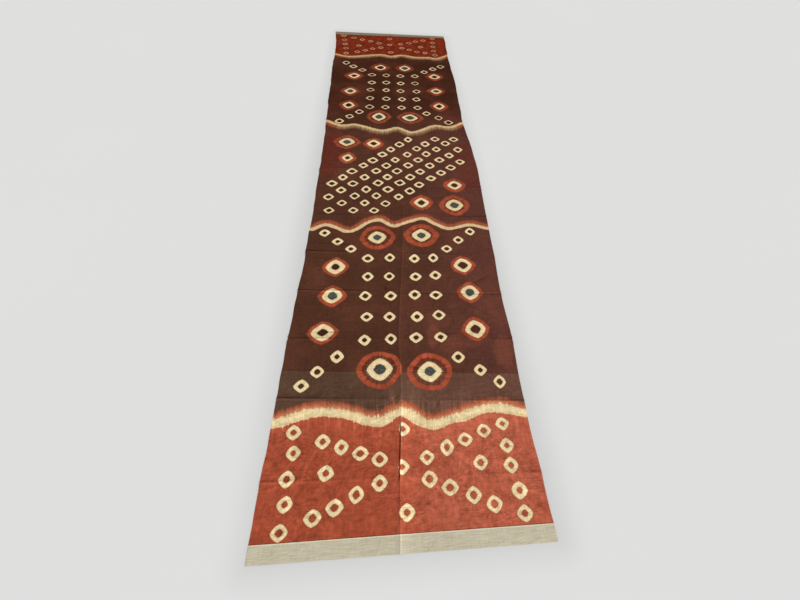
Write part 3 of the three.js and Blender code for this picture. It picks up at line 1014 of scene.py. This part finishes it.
def spin_the_thread():
    """The sewing thread: two plies twisted together."""
    material, nodes, shader = new_material("sewing_thread", 0.85)
    x, y, _ = nodes.split(nodes.object_place())
    ply = nodes.math("SINE", (x + y) * 9000.0)
    nodes.feed(shader["Base Color"], nodes.shade(THREAD, 0.9 + ply * 0.08))
    bump(nodes, shader, ply, 0.1 * MM)
    return material


def finish_the_floor():
    """A plain pale floor, with a soft shadow painted on it close to the panel."""
    material, nodes, shader = new_material("floor", 0.95)
    place = nodes.object_place()
    x, y, _ = nodes.split(place)
    # A painted shadow round the panel, darkest at its edges and gone about 12 cm out.
    beside = nodes.larger(abs(x + y * 0.011 - 0.014) - 0.495, 0.0)
    beyond = nodes.larger(abs(y) - 2.19, 0.0)
    away = nodes.math("SQRT", beside * beside + beyond * beyond)
    shade = nodes.math("POWER", nodes.larger(1.0 - away * 8.0, 0.0), 1.5) * -0.16
    clouds = nodes.noise(place, 0.8)
    nodes.feed(shader["Base Color"], nodes.shade(FLOOR, 0.985 + clouds * 0.03 + shade))
    return material


# Pieces

def surface_at(x, y):
    """The height of the underside at one place."""
    x, y = np.array([x]), np.array([y])
    share = (x - left_edge(y)) / (right_edge(y) - left_edge(y))
    return float(lie(x, y, share)[0])


def sew_stitches(name, seam, inset, material):
    """A row of running stitches along the edge of a band, each a short thread that rises and dips."""
    pitch, length, radius = 5.0 * MM, 3.4 * MM, 0.32 * MM
    bare()
    bpy.ops.mesh.primitive_cylinder_add(vertices=6, radius=radius, depth=length * 0.5,
                                        rotation=(0, math.pi / 2, 0))
    stitch = bpy.context.object
    bpy.ops.object.transform_apply(location=False, rotation=True, scale=False)
    bpy.ops.object.mode_set(mode="EDIT")
    bpy.ops.mesh.select_mode(type="FACE")
    for end in (-1, 1):
        bpy.ops.mesh.select_all(action="DESELECT")
        bpy.ops.object.mode_set(mode="OBJECT")
        for face in stitch.data.polygons:
            face.select = face.normal.x * end > 0.9
        bpy.ops.object.mode_set(mode="EDIT")
        for _ in range(2):
            bpy.ops.mesh.extrude_region_move(
                TRANSFORM_OT_translate={"value": (end * length * 0.125, 0, -radius * 0.6)})
            bpy.ops.transform.resize(value=(1, 0.68, 0.68))
    bpy.ops.object.mode_set(mode="OBJECT")
    model = read_all(stitch.data.vertices, "co", 3)

    rng = np.random.default_rng(seam)
    left, right = left_edge(Y_LEFT[seam]) + 6 * MM, right_edge(Y_RIGHT[seam]) - 6 * MM
    count = int((right - left) / pitch)
    copies = []
    for i in range(count):
        x = left + (i + 0.5) * (right - left) / count + rng.uniform(-0.4, 0.4) * MM
        share = (x - left) / (right - left)
        y = Y_LEFT[seam] + (Y_RIGHT[seam] - Y_LEFT[seam]) * share + inset + rng.uniform(-0.3, 0.3) * MM
        rise = (surface_at(x + MM, y) - surface_at(x - MM, y)) / (2 * MM)
        height = surface_at(x, y) + BAND_THICKNESS + radius * 0.35
        turn = rng.uniform(-0.07, 0.07)
        copy = model.copy()
        copy[:, 1] += copy[:, 0] * turn
        copy[:, 2] += copy[:, 0] * rise
        copies.append(copy + (x, y, height))
    pick(stitch)
    made = [stitch]
    for _ in copies[1:]:
        twin = stitch.copy()
        twin.data = stitch.data.copy()
        bpy.context.collection.objects.link(twin)
        made.append(twin)
    for each, places in zip(made, copies):
        each.data.vertices.foreach_set("co", places.ravel())
        each.data.update()
        each.select_set(True)
    bpy.ops.object.join()
    stitch.name = stitch.data.name = name
    bpy.ops.object.shade_smooth()
    stitch.data.materials.clear()
    stitch.data.materials.append(material)
    return stitch


def round_edges(sheet, width):
    """Turns the cut edges of a band over, by rounding them."""
    soften = sheet.modifiers.new("turned edge", "BEVEL")
    soften.width = width
    soften.segments = 2
    soften.limit_method = "ANGLE"
    soften.angle_limit = math.radians(50)
    bpy.ops.object.modifier_apply(modifier=soften.name)


def finish_piece(piece, material, node):
    pick(piece)
    bpy.ops.object.shade_smooth_by_angle(angle=math.radians(40))
    piece.data.materials.clear()
    piece.data.materials.append(material)
    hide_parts(node)


def place_camera():
    """The photograph was taken by someone standing at the near end, a little right of the middle."""
    bpy.ops.object.camera_add(location=(0.0243, -2.3916, 1.5458), rotation=(0.67464, -0.06505, -0.07981))
    camera = bpy.context.object
    camera.data.lens = 18.45
    camera.data.sensor_width = 36.0
    camera.data.shift_x = -0.0521
    camera.data.shift_y = 0.0007
    camera.data.clip_end = 100.0
    bpy.context.scene.camera = camera


def light_the_scene():
    """Soft light from all round, and a broad soft lamp to the right of the near end."""
    world = bpy.data.worlds.new("studio")
    world.use_nodes = True
    background = world.node_tree.nodes["Background"]
    background.inputs["Color"].default_value = (0.96, 0.98, 1.0, 1.0)
    background.inputs["Strength"].default_value = 0.62
    bpy.context.scene.world = world
    bpy.ops.object.light_add(type="SUN", rotation=(math.radians(18), math.radians(40), math.radians(-20)))
    lamp = bpy.context.object
    lamp.data.energy = 1.6
    lamp.data.angle = math.radians(25)
    lamp.data.color = (1.0, 0.985, 0.96)
    bpy.context.scene.view_settings.view_transform = "Standard"


place_camera()
light_the_scene()

bpy.ops.mesh.primitive_plane_add(size=40.0, location=(0, 0, -0.4 * MM))
floor = bpy.context.object
floor.name = floor.data.name = "floor"
bpy.ops.object.transform_apply(location=True, rotation=False, scale=False)
floor.data.materials.append(finish_the_floor())

weave = make_weave()
fold_shading = make_fold_shading()
crumple = make_crumple()
cotton = dye_the_cloth(weave, fold_shading, crumple, make_tied_ring())
linen = weave_the_linen(weave, fold_shading, crumple)
thread = spin_the_thread()

cloth_rows = []
for line in range(NEAR_SEAM, FAR_SEAM):
    rows = rows_between(line, line + 1, ALONG_STEPS, ALONG_SPACING)
    cloth_rows += rows if not cloth_rows else rows[1:]
cloth = lay_sheet("dyed_cloth", cloth_rows, CLOTH_THICKNESS)
mark_pattern(cloth, *mark_folds(cloth))
finish_piece(cloth, cotton, "tie_dyed_cloth")
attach(cloth, "root")

# Each band: its name and node, the two lines of the table that it runs between and how far off them it
# stays, and its stitches' name, the line that they follow and how far off it they are.
BANDS = [
    ("near_linen_band", "near_band", 0, 1, 0.0, -SEAM_GAP, "near_stitches", 1, -2.6 * MM),
    ("far_linen_band", "far_band", FAR_SEAM, FAR_SEAM + 1, SEAM_GAP, 0.0, "far_stitches", FAR_SEAM, 2.6 * MM),
]
for name, node, first, last, shift_first, shift_last, stitches_name, seam, inset in BANDS:
    rows = rows_between(first, last, BAND_STEPS, BAND_SPACING, shift_first, shift_last)
    band = lay_sheet(name, rows, BAND_THICKNESS)
    round_edges(band, 0.6 * MM)
    mark_folds(band)
    finish_piece(band, linen, node)
    stitches = sew_stitches(stitches_name, seam, inset, thread)
    for piece in (band, stitches):
        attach(piece, "root")
